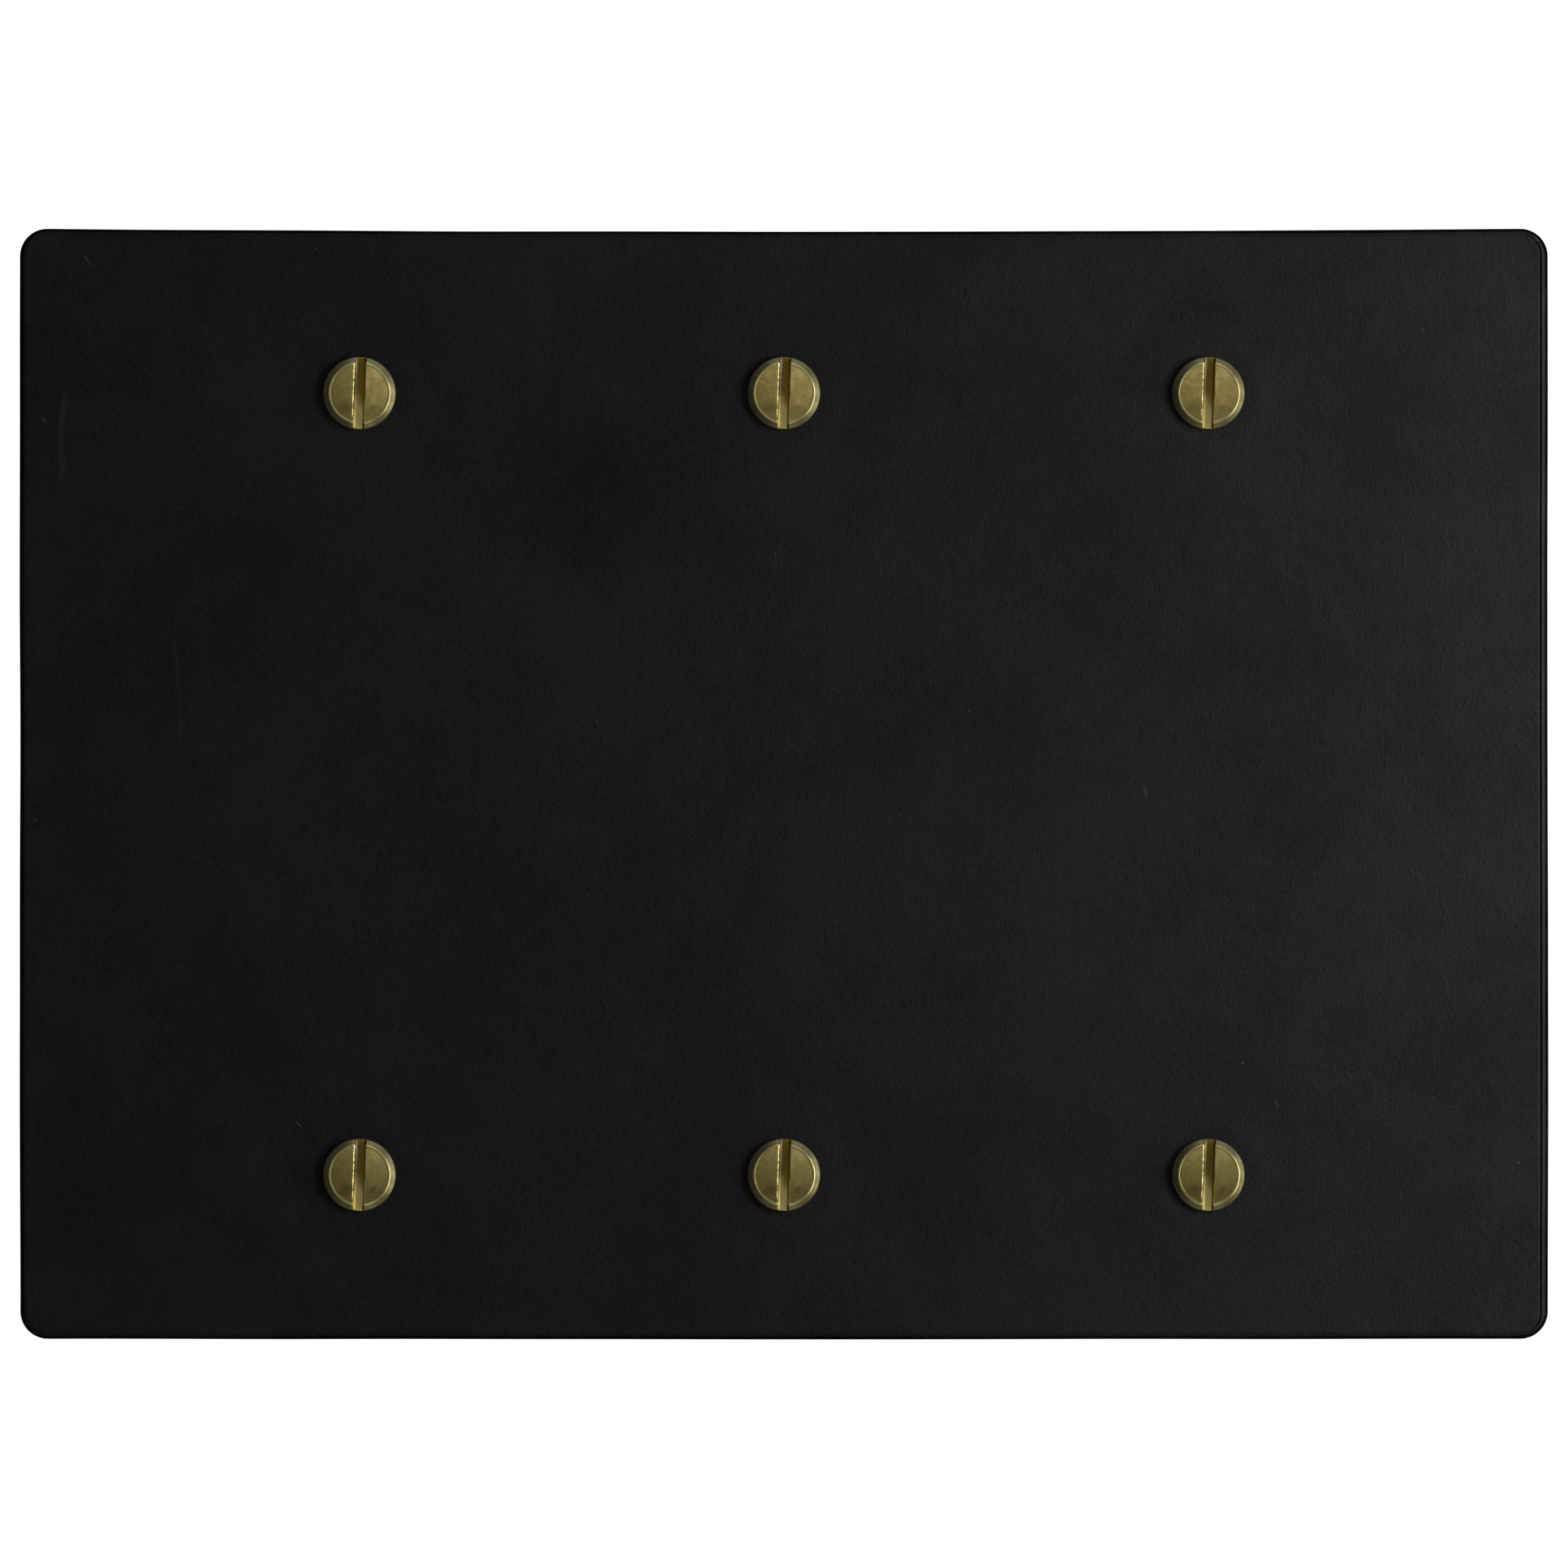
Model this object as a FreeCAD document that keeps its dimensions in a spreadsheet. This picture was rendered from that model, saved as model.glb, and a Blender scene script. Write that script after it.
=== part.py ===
# Desk mat: two layers of leather clamped together by six slotted brass binding screws.
#
# Frame: millimetres, +Z up, origin at the centre of the underside, +X along the long side
# and +Y towards the far long edge.
#
# From the desk upwards, each screw station holds
#   felt disc    fills the mouth of the recess, flush with the underside
#   post         flange and ribbed barrel, pushed into the two layers from below
#   washer       captive on the neck of the screw, let into the upper layer
#   screw        slotted head on top of the leather, shank running down into the post
import FreeCAD
import Part
import os
import Sketcher

SIZES = {
    # leather
    "mat_length": 550.0,
    "mat_width": 400.0,
    "corner_radius": 10.0,
    "base_thickness": 3.0,
    "top_thickness": 3.0,
    "top_edge_round": 1.4,
    "base_edge_round": 0.6,
    # where the screws stand
    "column_spacing": 152.5,
    "row_offset": 140.4,
    # screw, measured from the underside of its head
    "head_radius": 13.1,
    "head_height": 4.5,
    "face_radius": 10.75,
    "face_crown": 0.3,
    "face_edge_width": 0.3,
    "face_edge_drop": 0.12,
    "shoulder_fall": 1.1,
    "shoulder_radius": 4.0,
    "head_edge_break": 0.3,
    "neck_radius": 2.45,
    "neck_length": 0.85,
    "shank_radius": 2.95,
    "shank_length": 4.6,
    "shank_tip_break": 0.5,
    "thread_pitch": 1.0,
    "thread_depth": 0.5,
    "thread_half_width": 0.4,
    "thread_start": 1.85,
    # slot across the head
    "slot_width": 3.9,
    "slot_depth": 2.9,
    "slot_corner_radius": 1.2,
    "slot_saw_radius": 80.0,
    "slot_saw_sweep": 40.0,
    "slot_overrun": 1.0,
    "slot_lip": 0.5,
    "slot_turn": -2.0,
    "centre_mark_radius": 2.8,
    "centre_mark_depth": 1.7,
    # washer
    "washer_radius": 8.0,
    "washer_bore_radius": 2.5,
    "washer_thickness": 0.6,
    "washer_seat_radius": 8.3,
    # post, measured from the underside of its flange
    "flange_radius": 11.0,
    "flange_thickness": 1.0,
    "barrel_radius": 4.5,
    "barrel_height": 3.6,
    "post_edge_break": 0.2,
    "bore_radius": 3.0,
    "bore_floor": 0.6,
    "bore_chamfer": 0.5,
    "barrel_hole_radius": 4.9,
    "rib_width": 0.6,
    "rib_reach": 0.3,
    "rib_sink": 0.2,
    "rib_height": 3.0,
    # felt disc and its recess
    "felt_radius": 11.6,
    "felt_thickness": 0.6,
    "recess_radius": 12.0,
}

COLUMNS = {"left": -1, "middle": 0, "right": 1}
ROWS = {"front": -1, "back": 1}
CROWN_REACH = "face_radius - face_edge_width"
THREAD_GROOVES = 3
RIBS = 12
FULL_TURN = 360

doc = FreeCAD.newDocument("DeskMat")
sheet = doc.addObject("Spreadsheet::Sheet", "Dimensions")
for row, (name, value) in enumerate(SIZES.items(), start=1):
    sheet.set(f"A{row}", name)
    sheet.set(f"B{row}", str(value))
    sheet.setAlias(f"B{row}", name)
doc.recompute()


def cell(formula):
    """A formula over sheet names, as a FreeCAD expression."""
    words = formula.split()
    return " ".join(f"Dimensions.{word}" if word in SIZES else word for word in words)


def bind(obj, **formulas):
    for property_name, formula in formulas.items():
        obj.setExpression(property_name, cell(formula))


def new_body(label):
    body = doc.addObject("PartDesign::Body", label)
    body.Label = label
    return body


def new_sketch(body, name, plane, x_shift="0", y_shift="0", lift="0"):
    """An empty sketch on an origin plane of the body, moved by formulas in its own axes."""
    sketch = body.newObject("Sketcher::SketchObject", name)
    origin_plane = next(p for p in body.Origin.OriginFeatures if p.Role == plane)
    sketch.AttachmentSupport = [(origin_plane, "")]
    sketch.MapMode = "FlatFace"
    sketch.setExpression("AttachmentOffset.Base.x", cell(x_shift))
    sketch.setExpression("AttachmentOffset.Base.y", cell(y_shift))
    sketch.setExpression("AttachmentOffset.Base.z", cell(lift))
    return sketch


def constrain(sketch, *parts, formula=None):
    """Add one constraint, driven by a formula where one is given."""
    values = (1.0,) if formula is not None else ()
    index = sketch.addConstraint(Sketcher.Constraint(*parts, *values))
    if formula is not None:
        sketch.setExpression(f"Constraints[{index}]", cell(formula))


def draw_outline(sketch, corners):
    """A closed outline of straight lines through corners, each a pair of formulas."""
    count = len(corners)
    start = [FreeCAD.Vector(index + 1, index * index, 0) for index in range(count)]
    for index in range(count):
        line = Part.LineSegment(start[index], start[(index + 1) % count])
        sketch.addGeometry(line, False)
    for index, (x_formula, y_formula) in enumerate(corners):
        constrain(sketch, "Coincident", index, 2, (index + 1) % count, 1)
        constrain(sketch, "DistanceX", -1, 1, index, 1, formula=x_formula)
        constrain(sketch, "DistanceY", -1, 1, index, 1, formula=y_formula)


def draw_circle(sketch, radius, x_formula="0", y_formula="0"):
    circle = Part.Circle(FreeCAD.Vector(0, 0, 0), FreeCAD.Vector(0, 0, 1), 1.0)
    index = sketch.addGeometry(circle, False)
    constrain(sketch, "DistanceX", -1, 1, index, 3, formula=x_formula)
    constrain(sketch, "DistanceY", -1, 1, index, 3, formula=y_formula)
    constrain(sketch, "Radius", index, formula=radius)


def pad(body, name, sketch, length):
    feature = body.newObject("PartDesign::Pad", name)
    feature.Profile = sketch
    bind(feature, Length=length)
    doc.recompute()
    return feature


def revolve(body, name, sketch):
    feature = body.newObject("PartDesign::Revolution", name)
    feature.Profile = sketch
    feature.ReferenceAxis = (sketch, ["V_Axis"])
    feature.Angle = FULL_TURN
    doc.recompute()
    return feature


def cut(body, kind, name, sketch, **settings):
    """A Pocket or Groove, which must take material away."""
    volume_before = body.Tip.Shape.Volume
    feature = body.newObject(kind, name)
    feature.Profile = sketch
    for property_name, value in settings.items():
        setattr(feature, property_name, value)
    doc.recompute()
    if not feature.Shape.Volume < volume_before:
        raise RuntimeError(f"{body.Label}: {name} removes nothing")
    return feature


def fillet(body, name, radius, chosen):
    """Round the edges of the body's tip that the test chosen accepts."""
    base = body.Tip
    edges = enumerate(base.Shape.Edges, start=1)
    names = [f"Edge{number}" for number, edge in edges if chosen(edge.BoundBox)]
    feature = body.newObject("PartDesign::Fillet", name)
    feature.Base = (base, names)
    bind(feature, Radius=radius)
    doc.recompute()
    return feature


def place(obj, x_formula="0", y_formula="0", z_formula="0", turn="0"):
    obj.Placement.Rotation.Axis = FreeCAD.Vector(0, 0, 1)
    obj.setExpression("Placement.Base.x", cell(x_formula))
    obj.setExpression("Placement.Base.y", cell(y_formula))
    obj.setExpression("Placement.Base.z", cell(z_formula))
    obj.setExpression("Placement.Rotation.Angle", cell(turn))


def stations():
    """Each screw station's name and the formulas of its place."""
    for row_name, row_side in ROWS.items():
        for column_name, column_side in COLUMNS.items():
            x_formula = f"{column_side} * column_spacing"
            y_formula = f"{row_side} * row_offset"
            yield f"{row_name}_{column_name}", x_formula, y_formula


def draw_station_circles(sketch, radius):
    for _, x_formula, y_formula in stations():
        draw_circle(sketch, radius, x_formula, y_formula)


def leather_sheet(label, thickness):
    """A rectangle of leather with round corners and the six barrel holes through it."""
    body = new_body(label)
    outline = new_sketch(body, f"{label}_outline", "XY_Plane")
    half_length = "mat_length / 2"
    half_width = "mat_width / 2"
    corners = [
        (f"- {half_length}", f"- {half_width}"),
        (half_length, f"- {half_width}"),
        (half_length, half_width),
        (f"- {half_length}", half_width),
    ]
    draw_outline(outline, corners)
    pad(body, f"{label}_sheet", outline, thickness)
    fillet(body, f"{label}_corners", "corner_radius", lambda box: box.ZLength > 1)
    holes = new_sketch(body, f"{label}_barrel_holes", "XY_Plane")
    draw_station_circles(holes, "barrel_hole_radius")
    cut(body, "PartDesign::Pocket", f"{label}_holes", holes, Type="ThroughAll", Reversed=True)
    return body


def is_outline_edge(box, height):
    """Does the edge lie flat at this height on the rim of the mat?"""
    flat = box.ZLength < 0.01 and abs(box.ZMax - height) < 0.01
    reach_x = max(abs(box.XMin), abs(box.XMax))
    reach_y = max(abs(box.YMin), abs(box.YMax))
    on_rim_x = reach_x > SIZES["mat_length"] / 2 - 0.01
    on_rim_y = reach_y > SIZES["mat_width"] / 2 - 0.01
    return flat and (on_rim_x or on_rim_y)


def make_base_leather():
    body = leather_sheet("base_leather", "base_thickness")
    recesses = new_sketch(body, "recess_circles", "XY_Plane")
    draw_station_circles(recesses, "recess_radius")
    pocket = cut(body, "PartDesign::Pocket", "recesses", recesses, Reversed=True, Length=1)
    bind(pocket, Length="felt_thickness + flange_thickness")
    doc.recompute()
    fillet(body, "lower_edge", "base_edge_round", lambda box: is_outline_edge(box, 0))
    place(body)
    return body


def make_top_leather():
    body = leather_sheet("top_leather", "top_thickness")
    seats = new_sketch(body, "seat_circles", "XY_Plane", lift="top_thickness")
    draw_station_circles(seats, "washer_seat_radius")
    pocket = cut(body, "PartDesign::Pocket", "washer_seats", seats, Length=1)
    bind(pocket, Length="washer_thickness")
    doc.recompute()
    top = SIZES["top_thickness"]
    fillet(body, "upper_edge", "top_edge_round", lambda box: is_outline_edge(box, top))
    place(body, z_formula="base_thickness")
    return body


def make_felt_disc(station, x_formula, y_formula):
    disc = doc.addObject("Part::Cylinder", f"felt_disc_{station}")
    disc.Label = f"felt_disc_{station}"
    bind(disc, Radius="felt_radius", Height="felt_thickness")
    place(disc, x_formula, y_formula)
    return disc


def make_post(station, x_formula, y_formula):
    """Flange, blind-bored barrel and the ribs that stop it from turning in the leather."""
    body = new_body(f"post_{station}")
    section = new_sketch(body, f"post_{station}_section", "XZ_Plane")
    post_top = "( flange_thickness + barrel_height )"
    corners = [
        ("0", "0"),
        ("flange_radius - post_edge_break", "0"),
        ("flange_radius", "post_edge_break"),
        ("flange_radius", "flange_thickness"),
        ("barrel_radius", "flange_thickness"),
        ("barrel_radius", f"{post_top} - post_edge_break"),
        ("barrel_radius - post_edge_break", post_top),
        ("bore_radius + bore_chamfer", post_top),
        ("bore_radius", f"{post_top} - bore_chamfer"),
        ("bore_radius", "bore_floor"),
        ("0", "bore_floor"),
    ]
    draw_outline(section, corners)
    revolve(body, f"post_{station}_turned", section)
    rib_section = new_sketch(
        body, f"post_{station}_rib_section", "XY_Plane", lift="flange_thickness"
    )
    inner = "barrel_radius - rib_sink"
    outer = "barrel_radius + rib_reach"
    half = "rib_width / 2"
    rib_corners = [(inner, f"- {half}"), (outer, f"- {half}"), (outer, half), (inner, half)]
    draw_outline(rib_section, rib_corners)
    rib = pad(body, f"post_{station}_rib", rib_section, "rib_height")
    ribs = body.newObject("PartDesign::PolarPattern", f"post_{station}_ribs")
    ribs.Originals = [rib]
    ribs.Axis = (rib_section, ["N_Axis"])
    ribs.Angle = FULL_TURN
    ribs.Occurrences = RIBS
    body.Tip = ribs
    place(body, x_formula, y_formula, "felt_thickness")
    return body


def make_washer(station, x_formula, y_formula):
    body = new_body(f"washer_{station}")
    ring = new_sketch(body, f"washer_{station}_ring", "XY_Plane")
    draw_circle(ring, "washer_radius")
    draw_circle(ring, "washer_bore_radius")
    pad(body, f"washer_{station}_disc", ring, "washer_thickness")
    seat_floor = "base_thickness + top_thickness - washer_thickness"
    place(body, x_formula, y_formula, seat_floor)
    return body


def screw_section_corners():
    """Half section of the turned screw, from the middle of its face round to its tip, with
    the face still flat and standing proud by its crown."""
    face_edge_height = "head_height - face_crown"
    corners = [
        ("0", "head_height"),
        (CROWN_REACH, "head_height"),
        (CROWN_REACH, face_edge_height),
        ("face_radius", f"{face_edge_height} - face_edge_drop"),
        ("head_radius", f"{face_edge_height} - face_edge_drop - shoulder_fall"),
        ("head_radius", "head_edge_break"),
        ("head_radius - head_edge_break", "0"),
        ("neck_radius", "0"),
        ("neck_radius", "- neck_length"),
        ("shank_radius", "- neck_length - shank_radius + neck_radius"),
    ]
    for groove in range(THREAD_GROOVES):
        middle = f"- thread_start - {groove} * thread_pitch"
        corners.append(("shank_radius", f"{middle} + thread_half_width"))
        corners.append(("shank_radius - thread_depth", middle))
        corners.append(("shank_radius", f"{middle} - thread_half_width"))
    corners.append(("shank_radius - shank_tip_break", "- shank_length"))
    corners.append(("0", "- shank_length"))
    return corners


def turn_crown(body, prefix):
    """Turn the flat face down to a shallow dome that reaches its edge."""
    section = new_sketch(body, f"{prefix}_crown_section", "XZ_Plane", y_shift="head_height")
    top = FreeCAD.Vector(0, 0, 0)
    side = FreeCAD.Vector(11, -0.5, 0)
    above_side = FreeCAD.Vector(11, 1, 0)
    above_top = FreeCAD.Vector(0, 1, 0)
    ball = Part.Circle(FreeCAD.Vector(0, -150, 0), FreeCAD.Vector(0, 0, 1), 150)
    dome_arc = Part.ArcOfCircle(ball, 1.497, 1.571)
    section.addGeometry(dome_arc, False)
    for first, second in ((top, above_top), (above_top, above_side), (above_side, side)):
        section.addGeometry(Part.LineSegment(first, second), False)
    dome, axis_side, lid, outer_side = range(4)
    constrain(section, "Coincident", dome, 2, axis_side, 1)
    constrain(section, "Coincident", axis_side, 2, lid, 1)
    constrain(section, "Coincident", lid, 2, outer_side, 1)
    constrain(section, "Coincident", outer_side, 2, dome, 1)
    constrain(section, "Coincident", dome, 2, -1, 1)
    constrain(section, "PointOnObject", dome, 3, -2)
    constrain(section, "Vertical", axis_side)
    constrain(section, "Horizontal", lid)
    constrain(section, "Vertical", outer_side)
    constrain(section, "DistanceY", -1, 1, lid, 1, formula="slot_overrun")
    constrain(section, "DistanceX", -1, 1, dome, 1, formula=CROWN_REACH)
    constrain(section, "DistanceY", -1, 1, dome, 1, formula="- face_crown")
    turned = {"ReferenceAxis": (section, ["V_Axis"]), "Angle": FULL_TURN}
    cut(body, "PartDesign::Groove", f"{prefix}_crown", section, **turned)


def draw_slot_section(sketch):
    """Slot section with round corners and its bottom's centre at the sketch's origin, and the
    axis of the saw that cuts it as a construction line above."""
    upward = FreeCAD.Vector(0, 0, 1)
    foot_right = FreeCAD.Vector(1, 0, 0)
    wall_right = FreeCAD.Vector(2, 1, 0)
    top_right = FreeCAD.Vector(2, 4, 0)
    top_left = FreeCAD.Vector(-2, 4, 0)
    wall_left = FreeCAD.Vector(-2, 1, 0)
    foot_left = FreeCAD.Vector(-1, 0, 0)
    circle_right = Part.Circle(FreeCAD.Vector(1, 1, 0), upward, 1.0)
    circle_left = Part.Circle(FreeCAD.Vector(-1, 1, 0), upward, 1.0)
    sketch.addGeometry(Part.LineSegment(foot_left, foot_right), False)
    sketch.addGeometry(Part.ArcOfCircle(circle_right, 4.712, 6.283), False)
    sketch.addGeometry(Part.LineSegment(wall_right, top_right), False)
    sketch.addGeometry(Part.LineSegment(top_right, top_left), False)
    sketch.addGeometry(Part.LineSegment(top_left, wall_left), False)
    sketch.addGeometry(Part.ArcOfCircle(circle_left, 3.142, 4.712), False)
    axis = Part.LineSegment(FreeCAD.Vector(-2, 50, 0), FreeCAD.Vector(2, 50, 0))
    sketch.addGeometry(axis, True)
    floor, right_corner, right_wall, mouth, left_wall, left_corner, saw_axis = range(7)
    constrain(sketch, "Tangent", floor, 2, right_corner, 1)
    constrain(sketch, "Tangent", right_corner, 2, right_wall, 1)
    constrain(sketch, "Coincident", right_wall, 2, mouth, 1)
    constrain(sketch, "Coincident", mouth, 2, left_wall, 1)
    constrain(sketch, "Tangent", left_wall, 2, left_corner, 1)
    constrain(sketch, "Tangent", left_corner, 2, floor, 1)
    constrain(sketch, "PointOnObject", floor, 1, -1)
    constrain(sketch, "Horizontal", floor)
    constrain(sketch, "Horizontal", mouth)
    constrain(sketch, "Vertical", right_wall)
    constrain(sketch, "Vertical", left_wall)
    constrain(sketch, "Equal", right_corner, left_corner)
    constrain(sketch, "Radius", right_corner, formula="slot_corner_radius")
    constrain(sketch, "DistanceX", -1, 1, mouth, 1, formula="slot_width / 2")
    constrain(sketch, "DistanceX", -1, 1, mouth, 2, formula="- slot_width / 2")
    constrain(sketch, "DistanceY", -1, 1, mouth, 1, formula="slot_depth + slot_overrun")
    constrain(sketch, "DistanceX", -1, 1, saw_axis, 1, formula="- slot_width")
    constrain(sketch, "DistanceX", -1, 1, saw_axis, 2, formula="slot_width")
    constrain(sketch, "DistanceY", -1, 1, saw_axis, 1, formula="slot_saw_radius")
    constrain(sketch, "DistanceY", -1, 1, saw_axis, 2, formula="slot_saw_radius")


def cut_slot(body, prefix):
    """Sawn slot, its filed lips and the lathe's centre mark that it crosses."""
    section = new_sketch(
        body,
        f"{prefix}_slot_section",
        "XZ_Plane",
        y_shift="head_height - slot_depth",
    )
    draw_slot_section(section)
    slot = cut(
        body,
        "PartDesign::Groove",
        f"{prefix}_slot",
        section,
        ReferenceAxis=(section, ["Axis0"]),
        Midplane=True,
        Angle=SIZES["slot_saw_sweep"],
    )
    bind(slot, Angle="slot_saw_sweep")
    doc.recompute()
    lips = new_sketch(body, f"{prefix}_lip_section", "XZ_Plane", y_shift="head_height")
    lip_foot = "slot_width / 2 - slot_overrun"
    lip_head = "slot_width / 2 + slot_lip + slot_overrun"
    foot_height = "- slot_lip - slot_overrun"
    lip_corners = [
        (f"- ( {lip_head} )", "slot_overrun"),
        (f"- ( {lip_foot} )", foot_height),
        (lip_foot, foot_height),
        (lip_head, "slot_overrun"),
    ]
    draw_outline(lips, lip_corners)
    cut(body, "PartDesign::Pocket", f"{prefix}_lips", lips, Midplane=True, Type="ThroughAll")
    mark = new_sketch(body, f"{prefix}_mark_section", "XZ_Plane", y_shift="head_height")
    mark_corners = [
        ("0", "0"),
        ("0", "- centre_mark_depth"),
        ("centre_mark_radius", "0"),
    ]
    draw_outline(mark, mark_corners)
    turned = {"ReferenceAxis": (mark, ["V_Axis"]), "Angle": FULL_TURN}
    cut(body, "PartDesign::Groove", f"{prefix}_centre_mark", mark, **turned)


def make_screw(station, x_formula, y_formula):
    prefix = f"screw_{station}"
    body = new_body(prefix)
    section = new_sketch(body, f"{prefix}_section", "XZ_Plane")
    draw_outline(section, screw_section_corners())
    revolve(body, f"{prefix}_turned", section)
    brow = SIZES["head_height"] - SIZES["face_crown"] - SIZES["face_edge_drop"]
    brow -= SIZES["shoulder_fall"]
    rim = SIZES["head_radius"]

    def is_shoulder(box):
        return abs(box.ZMax - brow) < 0.01 and box.ZLength < 0.01 and box.XMax > rim - 0.01

    fillet(body, f"{prefix}_shoulder", "shoulder_radius", is_shoulder)
    turn_crown(body, prefix)
    cut_slot(body, prefix)
    place(body, x_formula, y_formula, "base_thickness + top_thickness", "slot_turn")
    return body


pieces = [make_base_leather(), make_top_leather()]
for station, x_formula, y_formula in stations():
    for make_piece in (make_felt_disc, make_post, make_washer, make_screw):
        pieces.append(make_piece(station, x_formula, y_formula))
doc.recompute()

for obj in doc.Objects:
    if "Invalid" in obj.State or "Error" in obj.State:
        raise RuntimeError(f"{obj.Label} did not build: {obj.State}")
for piece in pieces:
    shape = piece.Shape
    if shape.isNull() or not shape.isValid() or len(shape.Solids) != 1:
        raise RuntimeError(f"{piece.Label} is not one valid solid")

os.makedirs("parts", exist_ok=True)
for piece in pieces:
    piece.Shape.exportStep(f"parts/{piece.Label}.step")
    box = piece.Shape.optimalBoundingBox()
    print(f"{piece.Label}: z {box.ZMin:.3f} to {box.ZMax:.3f}, {piece.Shape.Volume:.1f} mm3")
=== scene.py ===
# Looks of the desk mat: black leather layers, felt discs, tarnished brass screws, studio.
# Lengths are metres in the CAD frame: +Z up, origin at the centre of the mat's underside.
import bpy
import math
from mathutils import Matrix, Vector, geometry, noise


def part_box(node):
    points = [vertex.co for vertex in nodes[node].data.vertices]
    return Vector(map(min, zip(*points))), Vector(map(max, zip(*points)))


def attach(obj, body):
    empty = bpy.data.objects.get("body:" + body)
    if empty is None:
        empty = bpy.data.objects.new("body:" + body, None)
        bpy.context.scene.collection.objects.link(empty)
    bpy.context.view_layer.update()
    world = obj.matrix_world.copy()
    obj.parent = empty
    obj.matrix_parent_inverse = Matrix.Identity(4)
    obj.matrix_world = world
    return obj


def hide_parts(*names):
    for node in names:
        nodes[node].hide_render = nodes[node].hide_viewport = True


MM = 0.001
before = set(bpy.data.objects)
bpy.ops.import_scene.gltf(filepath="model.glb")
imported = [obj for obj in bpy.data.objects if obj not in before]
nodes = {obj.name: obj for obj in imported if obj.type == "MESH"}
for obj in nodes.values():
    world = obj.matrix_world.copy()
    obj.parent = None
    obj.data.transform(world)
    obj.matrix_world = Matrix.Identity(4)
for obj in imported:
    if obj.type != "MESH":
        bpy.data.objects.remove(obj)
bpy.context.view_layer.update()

# ---------------------------------------------------------------- places, from the frame
mat_low, mat_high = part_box("top_leather")
HALF_LENGTH = mat_high.x
HALF_WIDTH = mat_high.y
LAYER_JOINT = mat_low.z
MAT_TOP = mat_high.z
CORNER_RADIUS = 10 * MM

STATION_NAMES = [f"{row}_{column}" for row in ("front", "back")
                 for column in ("left", "middle", "right")]


def centre_of(node):
    low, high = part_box(node)
    return (low + high) / 2


def radius_of(node):
    low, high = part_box(node)
    return (high.x - low.x) / 2


STATIONS = {name: centre_of(f"washer_{name}").xy for name in STATION_NAMES}
HEAD_RADIUS = radius_of("screw_front_left")
BARREL_HOLE_RADIUS = 4.9 * MM
SEAT_RADIUS = 8.3 * MM
SEAT_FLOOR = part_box("washer_front_left")[0].z
RECESS_RADIUS = 12 * MM
RECESS_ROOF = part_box("post_front_left")[0].z + 1 * MM


# ---------------------------------------------------------------- leather layers
OUTLINE_STEP = 1.5 * MM
CORNER_STEPS = 14
STATION_STEPS = 96
FIELD_STEP = 4 * MM
FIELD_INSET = 9 * MM
STATION_FIELD_RADIUS = 34 * MM


def outline_stations():
    """(skeleton point, outward normal) all round the rounded rectangle, anticlockwise."""
    reach_x = HALF_LENGTH - CORNER_RADIUS
    reach_y = HALF_WIDTH - CORNER_RADIUS
    corners = [(reach_x, -reach_y), (reach_x, reach_y), (-reach_x, reach_y), (-reach_x, -reach_y)]
    found = []
    for index, corner in enumerate(corners):
        following = corners[(index + 1) % 4]
        start_angle = math.radians(90 * index - 90)
        for step in range(CORNER_STEPS):
            angle = start_angle + math.radians(90) * step / CORNER_STEPS
            found.append((Vector(corner), Vector((math.cos(angle), math.sin(angle)))))
        along = Vector(following) - Vector(corner)
        normal = Vector((math.cos(math.radians(90 * index)), math.sin(math.radians(90 * index))))
        count = round(along.length / OUTLINE_STEP)
        for step in range(count):
            found.append((Vector(corner) + along * step / count, normal))
    return found


OUTLINE = outline_stations()


def outline_ring(inset, z):
    reach = CORNER_RADIUS - inset
    return [(*(point + normal * reach), z) for point, normal in OUTLINE]


def station_ring(centre, radius, z):
    turns = [2 * math.pi * step / STATION_STEPS for step in range(STATION_STEPS)]
    return [(centre.x + radius * math.cos(a), centre.y + radius * math.sin(a), z) for a in turns]


def inside_field(x, y, margin):
    """Is the point in the open field, clear of the outline and of every station?"""
    reach = FIELD_INSET + margin
    if abs(x) > HALF_LENGTH - reach or abs(y) > HALF_WIDTH - reach:
        return False
    apart = min((Vector((x, y)) - centre).length for centre in STATIONS.values())
    return apart > STATION_FIELD_RADIUS + margin


def field_grid():
    columns = round(HALF_LENGTH / FIELD_STEP)
    rows = round(HALF_WIDTH / FIELD_STEP)
    grid = [(i * FIELD_STEP, j * FIELD_STEP) for i in range(-columns, columns + 1)
            for j in range(-rows, rows + 1)]
    return [(x, y) for x, y in grid if inside_field(x, y, FIELD_STEP * 0.5)]


def fill(rings, grid, lines=()):
    """Triangles between the first ring and the holes that the others bound, as plan points
    (ring points first, in order, then lines and grid) and index triples. The triangles have
    edges along each line."""
    points = [Vector(p[:2]) for ring in rings for p in ring]
    edges = []
    first = 0
    for ring in rings:
        count = len(ring)
        edges += [(first + i, first + (i + 1) % count) for i in range(count)]
        first += count
    for line in lines:
        points += [Vector(p) for p in line]
        edges += [(first + i, first + i + 1) for i in range(len(line) - 1)]
        first += len(line)
    points += [Vector(p) for p in grid]
    made, _, triangles, _, _, _ = geometry.delaunay_2d_cdt(points, edges, [], 0, 1e-7)
    holes = [(Vector(ring[0][:2]) + Vector(ring[len(ring) // 2][:2])) / 2 for ring in rings[1:]]
    hole_radii = [(Vector(ring[0][:2]) - hole).length for ring, hole in zip(rings[1:], holes)]

    def in_hole(triangle):
        middle = sum((made[i] for i in triangle), Vector((0, 0))) / 3
        return any((middle - hole).length < radius for hole, radius in zip(holes, hole_radii))

    return made, [t for t in triangles if not in_hole(t)]


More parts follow.
